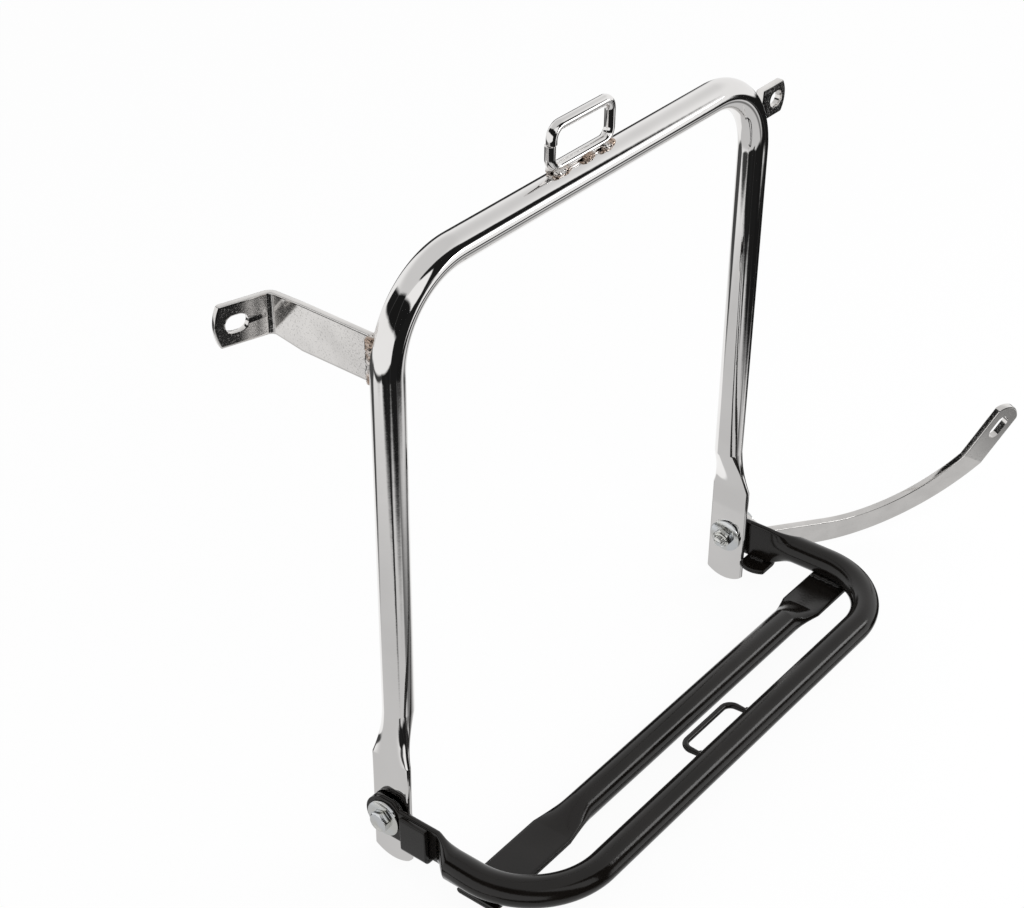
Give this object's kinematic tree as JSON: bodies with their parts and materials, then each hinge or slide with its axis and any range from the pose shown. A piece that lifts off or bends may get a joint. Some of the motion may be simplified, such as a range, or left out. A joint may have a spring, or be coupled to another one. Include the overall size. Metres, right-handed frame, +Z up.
{
  "type": "pannier frame",
  "caption": "Chromed tube hoop that holds a pannier beside a moped's rear wheel, with a folding tube shelf, bolt-on brackets and a slotted strut.",
  "frame": {"origin": "midway between the shelf's two pivots, on their common axis", "axes": "+X runs along the pivots from the front bracket's leg to the strut's leg, -Y points out over the shelf, +Z runs up the hoop's legs"},
  "size_m": [0.4755, 0.1935, 0.363],
  "materials": {
    "hoop_chrome": "mirror chrome",
    "bracket_plate": "dull chrome plate on flat bar",
    "bare_weld": "plated weld bead",
    "shelf_black": "satin black powder coat",
    "zinc_hardware": "bright zinc plate"
  },
  "bodies": {
    "hoop": {"hoop_tube": "hoop_chrome", "strap_loop": "hoop_chrome", "front_bracket": "bracket_plate", "rear_bracket": "bracket_plate", "strut": "bracket_plate", "strap_loop_welds": "bare_weld", "front_bracket_weld": "bare_weld", "rear_bracket_weld": "bare_weld", "left_pivot_bolt": "zinc_hardware", "right_pivot_bolt": "zinc_hardware", "left_lock_nut": "zinc_hardware", "right_lock_nut": "zinc_hardware", "left_outer_washer": "zinc_hardware", "right_outer_washer": "zinc_hardware", "left_middle_washer": "zinc_hardware", "right_middle_washer": "zinc_hardware", "left_inner_washer": "zinc_hardware", "right_inner_washer": "zinc_hardware", "right_spacer_washer": "zinc_hardware"},
    "shelf": {"shelf_tube": "shelf_black", "cross_tube": "shelf_black", "cross_tube_welds": "shelf_black", "shelf_loop": "shelf_black", "shelf_loop_welds": "shelf_black", "left_stop_angle": "shelf_black", "right_stop_angle": "shelf_black", "stop_welds": "shelf_black"}
  },
  "joints": [
    {"name": "shelf_fold", "type": "hinge", "parent": "hoop", "child": "shelf", "pos_m": [0, 0, 0], "axis": [-1, 0, 0], "range_deg": [0, 78]}
  ]
}
